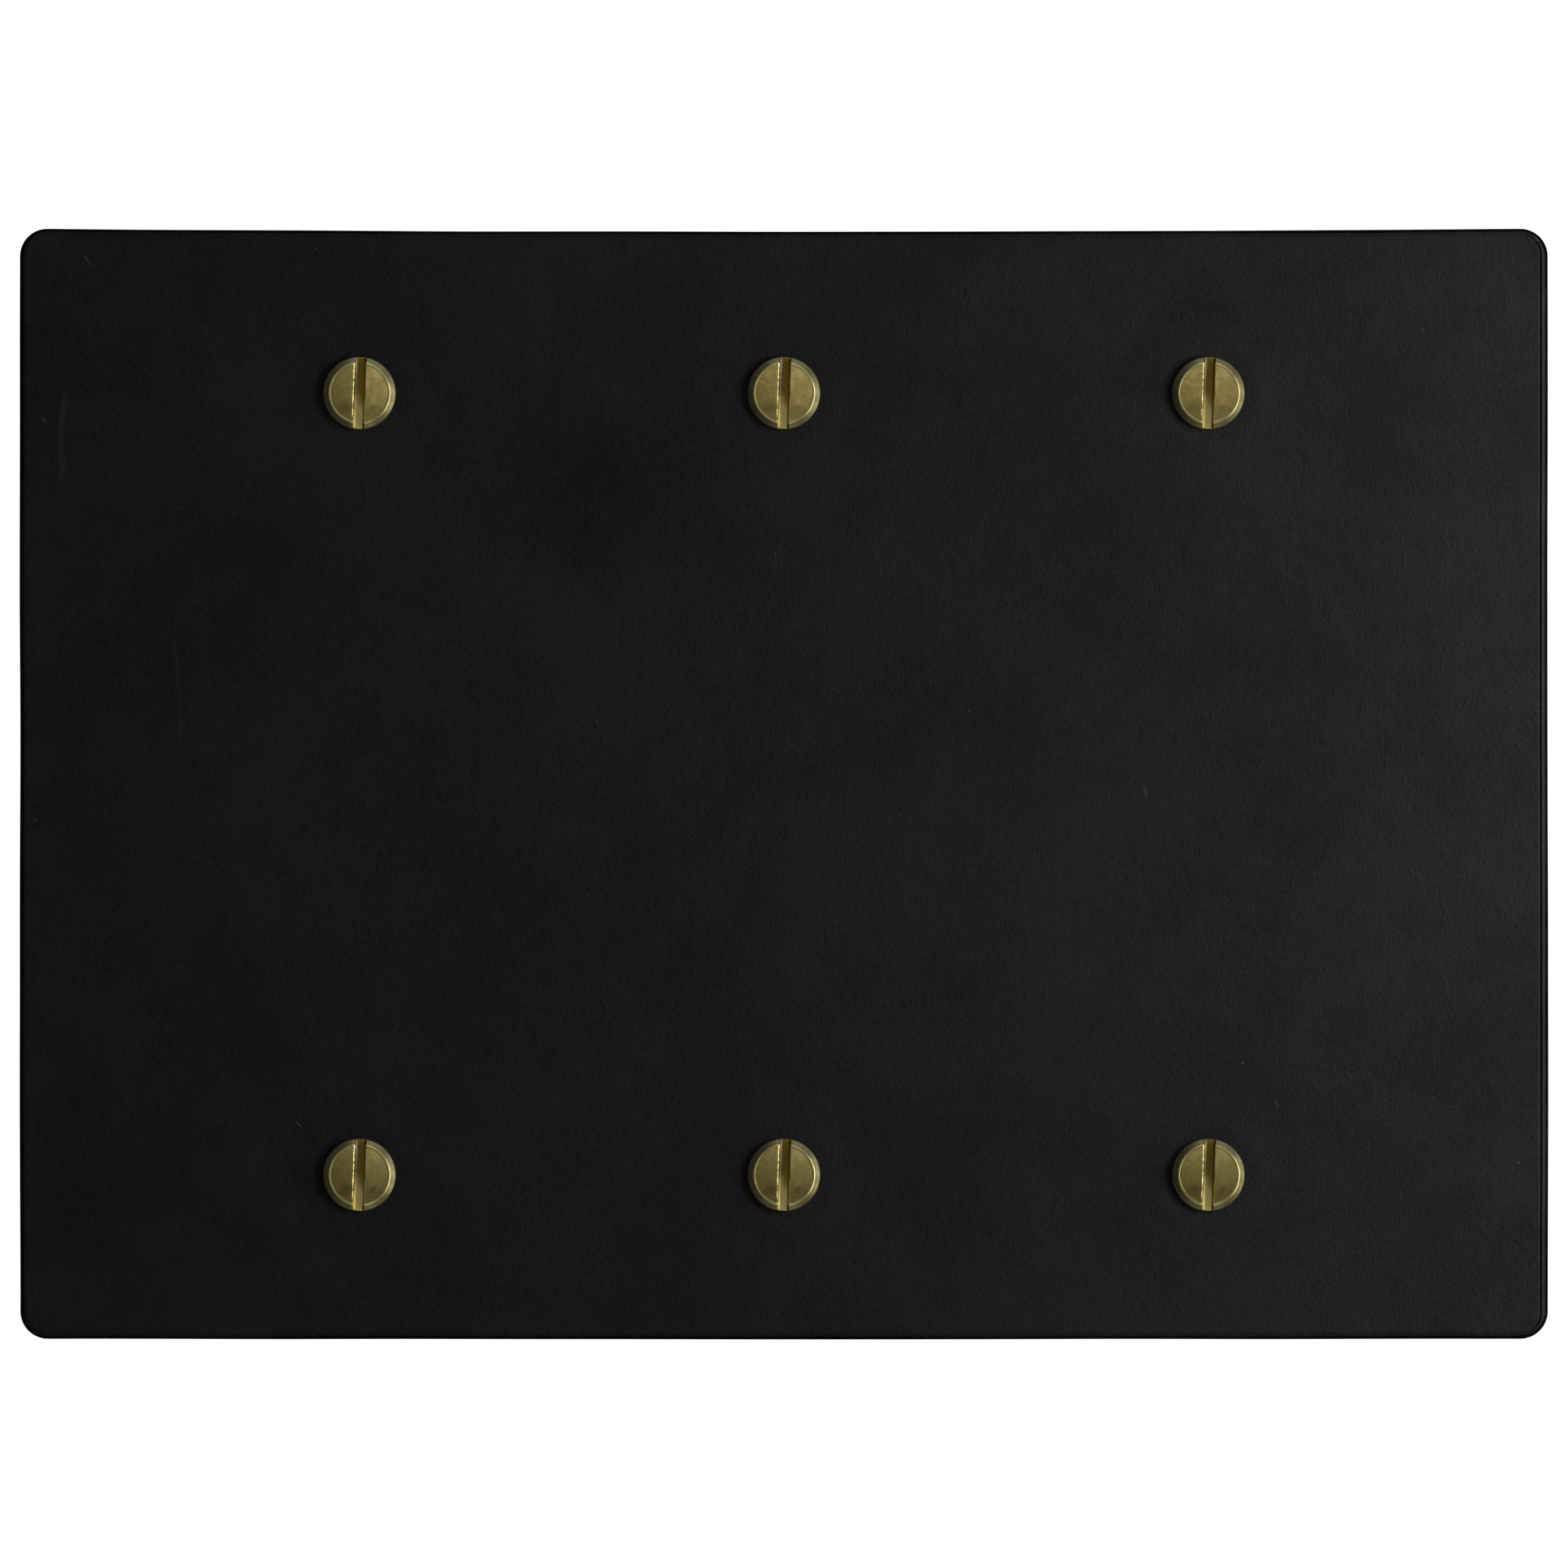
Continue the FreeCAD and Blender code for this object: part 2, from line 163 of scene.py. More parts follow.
class LayerMesh:
    """Collects rings and fills into one closed mesh."""

    def __init__(self):
        self.points = []
        self.faces = []

    def add_ring(self, ring):
        first = len(self.points)
        self.points += ring
        return range(first, first + len(ring))

    def strip(self, upper, lower):
        """Quads between two rings of the same count; upper is the one further inboard on top."""
        count = len(upper)
        for i in range(count):
            j = (i + 1) % count
            self.faces.append((upper[i], lower[i], lower[j], upper[j]))

    def strips(self, rings):
        indices = [self.add_ring(ring) for ring in rings]
        for upper, lower in zip(indices, indices[1:]):
            self.strip(upper, lower)
        return indices[0], indices[-1]

    def cover(self, border_indices, height, grid, upward, lines=()):
        """Fill the plan region between borders that are already in the mesh, at height(x, y)."""
        borders = [[self.points[i] for i in border] for border in border_indices]
        made, triangles = fill(borders, grid, lines)
        known = [i for border in border_indices for i in border]
        extra = self.add_ring([(p.x, p.y, height(p.x, p.y)) for p in made[len(known):]])
        known += list(extra)
        for triangle in triangles:
            face = [known[i] for i in triangle]
            self.faces.append(face if upward else face[::-1])

    def build(self, name):
        mesh = bpy.data.meshes.new(name)
        mesh.from_pydata(self.points, [], self.faces)
        mesh.validate()
        mesh.update()
        piece = bpy.data.objects.new(name, mesh)
        bpy.context.scene.collection.objects.link(piece)
        for polygon in mesh.polygons:
            polygon.use_smooth = True
        return piece


EDGE_ROLL_WIDTH = 2.2 * MM
EDGE_ROLL_DROP = 1.7 * MM
CREASE_INSET = 1.95 * MM
CREASE_INSET_GROWTH = 0.9 * MM
CREASE_WIDTH = 0.32 * MM
CREASE_DEPTH = 0.30 * MM
BEAD_OUTSIDE = 0.55 * MM
BEAD_WIDTH = 0.30 * MM
BEAD_HEIGHT = 0.08 * MM
CREASE_FIRMNESS = 0.45
CREASE_FIRMNESS_GROWTH = 0.5
DROOP_WIDTH = 3.2 * MM
DROOP_DEPTH = 0.28 * MM
FRONT_DROOP = 0.6
WIDE_WAVE = 0.16 * MM
NARROW_WAVE = 0.05 * MM
SQUEEZE_HEIGHT = 0.16 * MM
SQUEEZE_DISTANCE = 5 * MM
SQUEEZE_WIDTH = 4 * MM
BACK_BOW = 1.1 * MM
FRONT_BOW = 0.25 * MM
TRIMMED_OFF = 0.2 * MM
CUT_WOBBLE = 0.25 * MM


def top_profile():
    """(inset, z) from the field out over the creased and rolled edge and down to the joint."""
    roll_steps = 20
    insets = [FIELD_INSET, 7.8 * MM, 6.5 * MM, 5.2 * MM, 4.2 * MM]
    insets += [EDGE_ROLL_WIDTH + k * 0.14 * MM for k in range(10, -1, -1)]
    profile = [(inset, MAT_TOP) for inset in insets]
    for step in range(1, roll_steps + 1):
        angle = math.radians(90) * step / roll_steps
        inset = EDGE_ROLL_WIDTH * (1 - math.sin(angle))
        profile.append((inset, MAT_TOP - EDGE_ROLL_DROP * (1 - math.cos(angle))))
    profile.append((0, LAYER_JOINT + 0.3 * MM))
    profile.append((0.15 * MM, LAYER_JOINT + 0.02 * MM))
    return profile


def station_profile():
    """(radius, z) from the field in towards the head and down the washer seat and hole."""
    radii = [STATION_FIELD_RADIUS, 30 * MM, 26 * MM, 23 * MM, 20.5 * MM, 18.5 * MM, 17 * MM]
    radii += [15.8 * MM, 14.9 * MM, 14.2 * MM, 13.7 * MM, 13.3 * MM, 12.9 * MM, 12 * MM]
    profile = [(radius, MAT_TOP - 0.02 * MM) for radius in radii]
    profile += [(SEAT_RADIUS, MAT_TOP - 0.02 * MM), (SEAT_RADIUS, SEAT_FLOOR)]
    profile += [(BARREL_HOLE_RADIUS, SEAT_FLOOR), (BARREL_HOLE_RADIUS, LAYER_JOINT)]
    return profile


def smooth(low, high, value):
    t = min(1.0, max(0.0, (value - low) / (high - low)))
    return t * t * (3 - 2 * t)


def station_distance(x, y):
    return min((Vector((x, y)) - centre).length for centre in STATIONS.values())


def edge_inset(x, y):
    """How far in from the sheet's outline a point lies, and which way the edge there faces:
    1 to the right, -1 to the left, 0 to the front or back."""
    over_x = abs(x) - HALF_LENGTH + CORNER_RADIUS
    over_y = abs(y) - HALF_WIDTH + CORNER_RADIUS
    reach = math.hypot(max(over_x, 0.0), max(over_y, 0.0)) + min(max(over_x, over_y), 0.0)
    facing = math.atan2(max(over_x, 1e-9), max(over_y, 1e-9)) / math.radians(90)
    return CORNER_RADIUS - reach, math.copysign(facing, x)


def edge_rise(x, y):
    """Rise of the line pressed round the edge and of the bead outside it. They are firm on the
    right and fade out on the left, and the left and front edges droop."""
    inset, facing = edge_inset(x, y)
    line = CREASE_INSET + CREASE_INSET_GROWTH * max(facing, 0.0)
    pressed = (inset - line) / CREASE_WIDTH
    raised = (inset - line + BEAD_OUTSIDE) / BEAD_WIDTH
    rise = BEAD_HEIGHT * math.exp(-raised * raised) - CREASE_DEPTH * math.exp(-pressed * pressed)
    if facing > 0:
        firmness = CREASE_FIRMNESS + CREASE_FIRMNESS_GROWTH * facing
    else:
        firmness = CREASE_FIRMNESS * (1 + facing)
    turned_down = max(0.0, -facing)
    if y < 0:
        turned_down += FRONT_DROOP * (1 - abs(facing))
    droop = DROOP_DEPTH * max(0.0, 1 - inset / DROOP_WIDTH) ** 2 * turned_down
    return rise * firmness - droop


def relief(x, y):
    """Gentle rise and fall of the hide, and the roll that each clamped head squeezes up."""
    apart = station_distance(x, y)
    edge = min(HALF_LENGTH - abs(x), HALF_WIDTH - abs(y))
    calm = smooth(HEAD_RADIUS, HEAD_RADIUS + 14 * MM, apart) * smooth(3 * MM, 14 * MM, edge)
    wide = noise.noise(Vector((x * 9, y * 11, 3.1)))
    narrow = noise.noise(Vector((x * 26, y * 31, 7.7)))
    away = (apart - HEAD_RADIUS - SQUEEZE_DISTANCE) / SQUEEZE_WIDTH
    squeezed = SQUEEZE_HEIGHT * math.exp(-away * away)
    return calm * (WIDE_WAVE * wide + NARROW_WAVE * narrow) + squeezed


def hand_cut(x, y):
    """Where a point goes once the edge strays inwards a little, as a hand-cut one does: the far
    side bows in at its middle, and the near side at its ends."""
    reach_x = smooth(0.78 * HALF_LENGTH, HALF_LENGTH, abs(x))
    reach_y = smooth(0.82 * HALF_WIDTH, HALF_WIDTH, abs(y))
    along = 1 - (x / HALF_LENGTH) ** 2
    bow = BACK_BOW * along if y > 0 else FRONT_BOW * (1 - along)
    wobble_x = CUT_WOBBLE * noise.noise(Vector((math.copysign(2.0, x), y * 14, 0.4)))
    wobble_y = CUT_WOBBLE * noise.noise(Vector((x * 12, math.copysign(2.0, y), 0.9)))
    inward_x = reach_x * (TRIMMED_OFF + wobble_x)
    inward_y = reach_y * (bow + TRIMMED_OFF + wobble_y)
    return x - math.copysign(inward_x, x), y - math.copysign(inward_y, y)


def make_top_leather():
    layer = LayerMesh()
    field_border, rim = layer.strips([outline_ring(*p) for p in top_profile()])
    tops = [field_border]
    bottoms = [rim]
    for centre in STATIONS.values():
        rings = [station_ring(centre, *p) for p in station_profile()]
        outer, inner = layer.strips([ring[::-1] for ring in rings])
        tops.append(outer)
        bottoms.append(inner)
    layer.cover(tops, lambda x, y: MAT_TOP, field_grid(), upward=True)
    layer.cover(bottoms, lambda x, y: LAYER_JOINT, [], upward=False)
    piece = layer.build("leather_top")
    middle = (MAT_TOP + LAYER_JOINT) / 2
    for vertex in piece.data.vertices:
        x, y, z = vertex.co
        if z > middle and station_distance(x, y) > HEAD_RADIUS:
            z += relief(x, y) + edge_rise(x, y)
        vertex.co = (*hand_cut(x, y), z)
    return piece


def base_profile():
    lower_round = 0.6 * MM
    steps = 5
    profile = [(0.2 * MM, LAYER_JOINT - 0.02 * MM), (0, LAYER_JOINT - 0.3 * MM)]
    for step in range(steps + 1):
        angle = math.radians(90) * step / steps
        inset = lower_round * (1 - math.cos(angle))
        profile.append((inset, lower_round * (1 - math.sin(angle))))
    profile.append((2 * MM, 0))
    return profile


def base_station_profile():
    return [
        (BARREL_HOLE_RADIUS, LAYER_JOINT - 0.02 * MM),
        (BARREL_HOLE_RADIUS, RECESS_ROOF),
        (RECESS_RADIUS, RECESS_ROOF),
        (RECESS_RADIUS, 0.12 * MM),
        (RECESS_RADIUS + 0.15 * MM, 0),
        (RECESS_RADIUS + 1 * MM, 0),
    ]


def make_base_leather():
    layer = LayerMesh()
    rim_top, rim_bottom = layer.strips([outline_ring(*p) for p in base_profile()])
    tops = [rim_top]
    bottoms = [rim_bottom]
    for centre in STATIONS.values():
        rings = [station_ring(centre, *p) for p in base_station_profile()]
        upper, lower = layer.strips([ring[::-1] for ring in rings])
        tops.append(upper)
        bottoms.append(lower)
    layer.cover(tops, lambda x, y: LAYER_JOINT, [], upward=True)
    layer.cover(bottoms, lambda x, y: 0.0, [], upward=False)
    piece = layer.build("leather_base")
    for vertex in piece.data.vertices:
        vertex.co.x, vertex.co.y = hand_cut(vertex.co.x, vertex.co.y)
    return piece


# ---------------------------------------------------------------- screws
# Each screw stands on its own axis, with the underside of its head at height 0.
HEAD_HEIGHT = 4.5 * MM
FACE_RADIUS = 10.87 * MM
FACE_CROWN = 0.38 * MM
BAND_RADIUS = 10.4 * MM
BAND_STEP_WIDTH = 0.14 * MM
BAND_STEP_HEIGHT = 0.06 * MM
EDGE_ROUNDING = 0.22 * MM
SHOULDER_SLOPE = math.radians(35)
RIM_ROUNDING = 0.75 * MM
SLOT_HALF = 1.95 * MM
SLOT_DEPTH = 2.6 * MM
SLOT_CORNERS = {-1: 1.1 * MM, 1: 0.5 * MM}
LIP_NICKS = [-9.2 * MM, -5.3 * MM, 1.6 * MM, 4.4 * MM]
LIP_NICK_SIZE = 0.35 * MM
LIP_NARROWEST = 0.12 * MM
SAW_RADIUS = 80 * MM
SLOT_TURN = math.radians(-2.0)
NECK_RADIUS = 2.45 * MM
NECK_END = -0.85 * MM
SHANK_RADIUS = 2.95 * MM
THREAD_START = -1.35 * MM
THREAD_END = -4.3 * MM
THREAD_RINGS = 37
THREAD_RING_STEP = 0.075 * MM
SHANK_END = -4.6 * MM
THREAD_PITCH = 1.0 * MM
THREAD_DEPTH = 0.5 * MM
HEAD_STEPS = 160
SHARP_ANGLE = math.radians(28)


def shoulder_height(radius):
    """Height of the shoulder's cone, which leaves the face at its edge."""
    return HEAD_HEIGHT - FACE_CROWN - (radius - FACE_RADIUS) * math.tan(SHOULDER_SLOPE)


def rim_rounding():
    """Where the cone turns into the rim's rounding, and the height of that arc's centre."""
    tangent = RIM_ROUNDING * math.tan((math.radians(90) - SHOULDER_SLOPE) / 2)
    centre = shoulder_height(HEAD_RADIUS) - tangent
    return HEAD_RADIUS - tangent * math.cos(SHOULDER_SLOPE), centre


ROUNDING_START, ROUNDING_CENTRE = rim_rounding()


def head_surface(radius):
    """Height of the turned head before its slot is cut: dome, raised band, cone, rim."""
    edge_top = HEAD_HEIGHT - FACE_CROWN
    if radius <= BAND_RADIUS:
        return edge_top - BAND_STEP_HEIGHT + FACE_CROWN * (1 - (radius / BAND_RADIUS) ** 2)
    if radius <= FACE_RADIUS - EDGE_ROUNDING:
        below = 1 - smooth(BAND_RADIUS, BAND_RADIUS + BAND_STEP_WIDTH, radius)
        return edge_top - BAND_STEP_HEIGHT * below
    if radius <= FACE_RADIUS + EDGE_ROUNDING:
        share = (radius - FACE_RADIUS + EDGE_ROUNDING) / (2 * EDGE_ROUNDING)
        return edge_top - EDGE_ROUNDING * math.tan(SHOULDER_SLOPE) * share ** 2
    if radius <= ROUNDING_START:
        return shoulder_height(radius)
    across = min(radius - HEAD_RADIUS + RIM_ROUNDING, RIM_ROUNDING)
    return ROUNDING_CENTRE + math.sqrt(RIM_ROUNDING ** 2 - across ** 2)


def lip_width(side, along):
    """Width of the filed lip: broad, ragged and nicked on the left, fine on the right."""
    rough = noise.noise(Vector((along / MM * 0.55, side * 3.7, 1.3)))
    ragged = noise.noise(Vector((along / MM * 1.9, side * 5.1, 8.2)))
    if side < 0:
        nick = sum(math.exp(-((along - place) / LIP_NICK_SIZE) ** 2) for place in LIP_NICKS)
        width = 0.48 + 0.014 * along / MM + 0.26 * rough + 0.16 * ragged - 0.34 * nick
        return max(LIP_NARROWEST, width * MM)
    nick = math.exp(-((along + 0.3 * MM) / (0.6 * MM)) ** 2)
    return (0.27 + 0.08 * rough + 0.06 * ragged + 0.24 * nick) * MM


def wall_waver(side, along):
    """How far the slot's wall strays sideways from straight."""
    return 0.05 * MM * noise.noise(Vector((along / MM * 0.8, side * 2.1, 4.4)))


def slot_floor(side, out, along):
    """Height of the slot's floor, which the saw leaves dished, and of its rounded corners."""
    floor = HEAD_HEIGHT - SLOT_DEPTH + SAW_RADIUS - math.sqrt(SAW_RADIUS ** 2 - along ** 2)
    floor += 0.02 * MM * noise.noise(Vector((side * out / MM * 1.6, along / MM * 0.5, 2.2)))
    corner = SLOT_CORNERS[side]
    into_corner = max(0.0, out - SLOT_HALF + corner)
    return floor + corner - math.sqrt(corner ** 2 - into_corner ** 2)


def head_top(x, y):
    """Height of the finished head: the slot's floor, its filed lips, or the turned surface."""
    turned = head_surface(math.hypot(x, y))
    side = -1 if x < 0 else 1
    out = abs(x) - wall_waver(side, y)
    if out <= SLOT_HALF - 0.01 * MM:
        return min(turned, slot_floor(side, out, y))
    share = (out - SLOT_HALF) / lip_width(side, y)
    if share >= 1:
        return turned
    drop = (0.30 if side < 0 else 0.26) * MM
    return turned - drop * (1 - share) ** 1.6


def span(limit, step, end_step):
    """Values from -limit to limit, at step apart in the middle and finer towards each end."""
    values = [0.0]
    while values[-1] < limit:
        near_end = limit - values[-1] < 2 * MM
        values.append(values[-1] + (end_step if near_end else step))
    values = [v for v in values if v < limit]
    return [-v for v in values[:0:-1]] + values


def slot_lines():
    """Lines along the slot: over its floor, up its corners and walls, and along its lips."""
    shares = [0.0, 0.2, 0.4, 0.5, 0.62, 0.74, 0.8, 0.86, 0.92, 0.96]
    lines = []
    for side in (-1, 1):
        first = 0 if side < 0 else 1
        for share in shares[first:]:
            lines.append((side, share * SLOT_HALF, None))
        lines.append((side, SLOT_HALF - 0.015 * MM, None))
        for lip_share in (0.0, 0.25, 0.5, 0.75, 1.0, 1.35):
            lines.append((side, SLOT_HALF, lip_share))
    return lines


def line_points(side, out, lip_share):
    """Points of one such line. out is measured from the slot's middle, and lip_share is how far
    over the lip the line lies, or None down in the slot."""
    reach = HEAD_RADIUS - 0.03 * MM
    points = []
    for along in span(math.sqrt(reach ** 2 - out ** 2), 0.3 * MM, 0.12 * MM):
        across = out
        if out > 0.9 * SLOT_HALF:
            across += wall_waver(side, along)
        if lip_share is not None:
            across += lip_share * lip_width(side, along)
        if math.hypot(across, along) < reach:
            points.append((side * across, along))
    return points


def ring_arcs(radius):
    """The two arcs of a ring round the head that are clear of the slot and its lips."""
    steps = HEAD_STEPS if radius > 9 * MM else HEAD_STEPS // 2
    arcs = []
    for side in (-1, 1):
        arc = []
        for step in range(1, steps // 2):
            angle = 2 * math.pi * step / steps
            x = side * radius * math.sin(angle)
            y = radius * math.cos(angle)
            if abs(x) > SLOT_HALF + 1.45 * lip_width(side, y) + 0.08 * MM:
                arc.append((x, y))
        arcs.append(arc)
    return [arc for arc in arcs if len(arc) > 1]


def lathe_ring(radius, z):
    turns = [2 * math.pi * step / HEAD_STEPS for step in range(HEAD_STEPS)]
    return [(radius * math.cos(a), radius * math.sin(a), z) for a in turns]


def thread_ring(z):
    """A ring of the shank with the right-hand thread's V section at each bearing."""
    ring = []
    starts = smooth(-1.30 * MM, -1.75 * MM, z)
    for step in range(HEAD_STEPS):
        angle = 2 * math.pi * step / HEAD_STEPS
        phase = (z / THREAD_PITCH - angle / (2 * math.pi)) % 1
        groove = max(0.0, 1 - abs(phase - 0.5) / 0.42)
        radius = SHANK_RADIUS - THREAD_DEPTH * groove * starts
        ring.append((radius * math.cos(angle), radius * math.sin(angle), z))
    return ring


# rings of the head's top, in millimetres, closest where its profile bends
HEAD_RINGS_MM = [3, 5, 7, 8.6, 9.6, 10.15, 10.4, 10.44, 10.47, 10.5, 10.54, 10.65, 10.75, 10.81]
HEAD_RINGS_MM += [10.87, 10.93, 10.99, 11.05, 11.3, 11.7, 12.1, 12.5, 12.74, 12.82, 12.9]
HEAD_RINGS_MM += [12.97, 13.03]


def make_screw_mesh():
    """The whole screw: rim, neck and thread as rings, then the slotted top as one fill."""
    head = LayerMesh()
    rings = [lathe_ring(HEAD_RADIUS, ROUNDING_CENTRE), lathe_ring(HEAD_RADIUS, 0.3 * MM)]
    rings += [lathe_ring(HEAD_RADIUS - 0.08 * MM, 0.1 * MM), lathe_ring(12.8 * MM, 0)]
    rings += [lathe_ring(NECK_RADIUS + 0.2 * MM, 0), lathe_ring(NECK_RADIUS, -0.15 * MM)]
    rings += [lathe_ring(NECK_RADIUS, NECK_END), lathe_ring(SHANK_RADIUS, -1.33 * MM)]
    rings += [thread_ring(THREAD_START - k * THREAD_RING_STEP) for k in range(THREAD_RINGS)]
    rings += [lathe_ring(NECK_RADIUS, THREAD_END), lathe_ring(NECK_RADIUS - 0.25 * MM, SHANK_END)]
    rings += [lathe_ring(0.5 * MM, SHANK_END)]
    rim, tip = head.strips(rings)
    head.faces.append(list(tip)[::-1])
    lines = [line_points(*line) for line in slot_lines()]
    lines += [arc for radius in HEAD_RINGS_MM for arc in ring_arcs(radius * MM)]
    head.cover([rim], head_top, [], upward=True, lines=lines)
    mesh = head.build("screw_shape").data
    bpy.data.objects.remove(bpy.data.objects["screw_shape"])
    mesh.set_sharp_from_angle(angle=SHARP_ANGLE)
    return mesh


def make_screw(name, centre, mesh):
    piece = bpy.data.objects.new(f"screw_{name}_turned", mesh)
    piece.location = (centre.x, centre.y, MAT_TOP)
    piece.rotation_euler = (0, 0, SLOT_TURN)
    bpy.context.scene.collection.objects.link(piece)
    return piece


# ---------------------------------------------------------------- materials
class Shader:
    """A material's node tree, with short calls for the nodes this script uses."""

    def __init__(self, name):
        self.material = bpy.data.materials.new(name)
        self.material.use_nodes = True
        self.tree = self.material.node_tree
        self.surface = self.tree.nodes["Principled BSDF"]
        self.coords = self.add("ShaderNodeTexCoord").outputs["Object"]

    def add(self, kind, **settings):
        node = self.tree.nodes.new(kind)
        for key, value in settings.items():
            setattr(node, key, value)
        return node

    def link(self, source, target):
        self.tree.links.new(source, target)

    def put(self, socket, value):
        """Set a socket to a value, or link it to another node's output."""
        if isinstance(value, bpy.types.NodeSocket):
            self.link(value, socket)
        else:
            socket.default_value = value

    def mapped(self, place=(0, 0, 0), turn=(0, 0, 0), scale=(1, 1, 1), source=None):
        node = self.add("ShaderNodeMapping")
        self.link(source or self.coords, node.inputs["Vector"])
        node.inputs["Location"].default_value = place
        node.inputs["Rotation"].default_value = turn
        node.inputs["Scale"].default_value = scale
        return node.outputs["Vector"]

    def noise(self, scale, detail=2.0, rough=0.5, source=None, distortion=0.0):
        node = self.add("ShaderNodeTexNoise")
        self.link(source or self.coords, node.inputs["Vector"])
        node.inputs["Scale"].default_value = scale
        node.inputs["Detail"].default_value = detail
        node.inputs["Roughness"].default_value = rough
        node.inputs["Distortion"].default_value = distortion
        return node.outputs["Fac"]

    def cells(self, scale, output):
        node = self.add("ShaderNodeTexVoronoi", voronoi_dimensions="2D")
        self.link(self.coords, node.inputs["Vector"])
        node.inputs["Scale"].default_value = scale
        return node.outputs[output]

    def math(self, operation, first, second=0.0, third=0.0):
        node = self.add("ShaderNodeMath", operation=operation)
        for socket, value in zip(node.inputs, (first, second, third)):
            self.put(socket, value)
        return node.outputs["Value"]

    def remap(self, value, low, high, to_low=0.0, to_high=1.0, curve="SMOOTHSTEP"):
        node = self.add("ShaderNodeMapRange", interpolation_type=curve)
        self.put(node.inputs["Value"], value)
        node.inputs["From Min"].default_value = low
        node.inputs["From Max"].default_value = high
        node.inputs["To Min"].default_value = to_low
        node.inputs["To Max"].default_value = to_high
        return node.outputs["Result"]

    def mix(self, factor, first, second):
        node = self.add("ShaderNodeMix", data_type="RGBA")
        self.put(node.inputs["Factor"], factor)
        colours = [socket for socket in node.inputs if socket.type == "RGBA"]
        for socket, value in zip(colours, (first, second)):
            if isinstance(value, bpy.types.NodeSocket):
                self.link(value, socket)
            else:
                socket.default_value = (*value, 1)
        return next(socket for socket in node.outputs if socket.type == "RGBA")

    def separate(self, vector):
        node = self.add("ShaderNodeSeparateXYZ")
        self.link(vector, node.inputs["Vector"])
        return node.outputs["X"], node.outputs["Y"], node.outputs["Z"]

    def bump(self, height, depth, before=None):
        """Bump of a height field whose 0 to 1 is depth metres."""
        node = self.add("ShaderNodeBump")
        node.inputs["Distance"].default_value = depth
        self.link(height, node.inputs["Height"])
        if before is not None:
            self.link(before, node.inputs["Normal"])
        return node.outputs["Normal"]

    def set(self, **values):
        for key, value in values.items():
            self.put(self.surface.inputs[key.replace("_", " ")], value)


def pale_mark(s, start, end, width, strength):
    """A thin pale streak on the leather from start to end, fading towards both ends, used for scuffs
    and for a painted glint.
    """
    along = Vector(end) - Vector(start)
    middle = (Vector(start) + Vector(end)) / 2
    angle = math.atan2(along.y, along.x)
    local = s.mapped(place=(-middle.x, -middle.y, 0))
    turned = s.mapped(turn=(0, 0, -angle), source=local)
    x, y, _ = s.separate(turned)
    waver = s.math("MULTIPLY_ADD", s.noise(90), 4 * width, s.math("ADD", y, -2 * width))
    lengthwise = s.remap(s.math("ABSOLUTE", x), along.length * 0.5, along.length * 0.2)
    crosswise = s.remap(s.math("ABSOLUTE", waver), width, width * 0.2)
    return s.math("MULTIPLY", s.math("MULTIPLY", lengthwise, crosswise), strength)


def patch(s, centre, radius):
    """1 at the centre, fading to 0 at radius (x and y)."""
    scale = (1 / radius[0], 1 / radius[1], 0)
    place = (-centre[0] / radius[0], -centre[1] / radius[1], 0)
    x, y, _ = s.separate(s.mapped(place=place, scale=scale))
    square = s.math("MULTIPLY_ADD", x, x, s.math("MULTIPLY", y, y))
    return s.remap(square, 1.0, 0.1)


LEATHER_DARK = (0.0012, 0.0012, 0.0013)
LEATHER_PALE = (0.0080, 0.0080, 0.0081)
GRAIN_DEPTH = 0.130 * MM
HAIR_DEPTH = 0.100 * MM
PEBBLE_DEPTH = 0.100 * MM
SLACK_DEPTH = 0.150 * MM
STREAK_DEPTH = 0.030 * MM
WRINKLE_DEPTH = 0.025 * MM
LINT_PER_METRE = 30
LINT_SHARE = 0.10
MARK_AND_GLINT_COLOUR = (0.16, 0.16, 0.155)

# each mark on the leather: start, end, half width, strength; the last one is a painted glint on the
# far right corner
SCUFFS_AND_GLINT = [
    ((-0.2520, 0.1905), (-0.2486, 0.1858), 0.22 * MM, 1.0),
    ((-0.2672, 0.1322), (-0.2648, 0.1302), 0.20 * MM, 1.0),
    ((-0.2590, 0.1480), (-0.2606, 0.1020), 1.5 * MM, 0.13),
    ((-0.2093, 0.1665), (-0.2060, 0.1601), 0.16 * MM, 0.6),
    ((-0.1760, -0.1205), (-0.1728, -0.1240), 0.22 * MM, 0.8),
    ((0.1290, -0.0005), (0.1308, -0.0045), 0.22 * MM, 1.0),
    ((0.1760, -0.1130), (0.1778, -0.1165), 0.2 * MM, 0.8),
    ((-0.2185, 0.0560), (-0.2168, 0.0100), 1.1 * MM, 0.10),
    # painted glint: a pale streak standing in for light caught on the far right corner
    ((0.2698, 0.1968), (0.2718, 0.1948), 0.25 * MM, 1.6),
]


